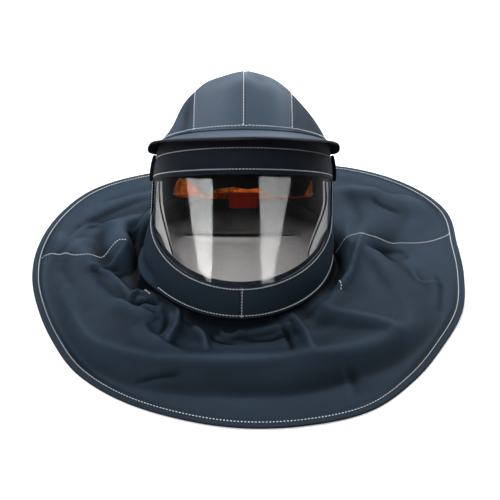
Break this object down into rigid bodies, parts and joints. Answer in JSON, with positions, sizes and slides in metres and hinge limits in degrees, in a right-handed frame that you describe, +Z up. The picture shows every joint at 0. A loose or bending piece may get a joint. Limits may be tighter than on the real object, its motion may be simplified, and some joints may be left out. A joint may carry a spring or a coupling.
{
  "type": "sandblasting hood",
  "caption": "Blasting hood of coated cloth with a peaked crown, curved clear window, chin band, inner neck seal and a wide draped cape, set down on its hem.",
  "frame": {"origin": "on the resting plane under the middle of the cape's bounding box", "axes": "+Z up, -Y towards the window, +X to the window's right as a viewer facing it sees it"},
  "size_m": [0.6639, 0.6758, 0.364],
  "materials": {
    "crown_cloth": "smooth coated cloth, satin, slate blue",
    "cape_cloth": "smooth coated cloth, satin, dark slate blue",
    "dark_cloth": "smooth coated cloth, satin, near black blue",
    "clear_window": "clear polycarbonate sheet, polished",
    "black_trim": "smooth black",
    "grey_lining": "soft grey knit",
    "orange_sweatband": "soft orange padding",
    "dark_pad": "dark red foam pad"
  },
  "bodies": {
    "root": {"crown_side_left": "crown_cloth", "crown_top_left": "crown_cloth", "crown_top_right": "crown_cloth", "crown_side_right": "crown_cloth", "eave": "crown_cloth", "brow_band": "dark_cloth", "chin_band_left": "cape_cloth", "chin_band_right": "cape_cloth", "back_panel": "cape_cloth", "side_binding_left": "black_trim", "side_binding_right": "black_trim", "window": "clear_window", "window_welt": "black_trim", "cape_front": "cape_cloth", "cape_back": "cape_cloth", "neck_seal": "grey_lining", "lining": "grey_lining", "headband": "orange_sweatband", "nape_pad": "dark_pad", "crown_strap": "black_trim"}
  },
  "joints": []
}
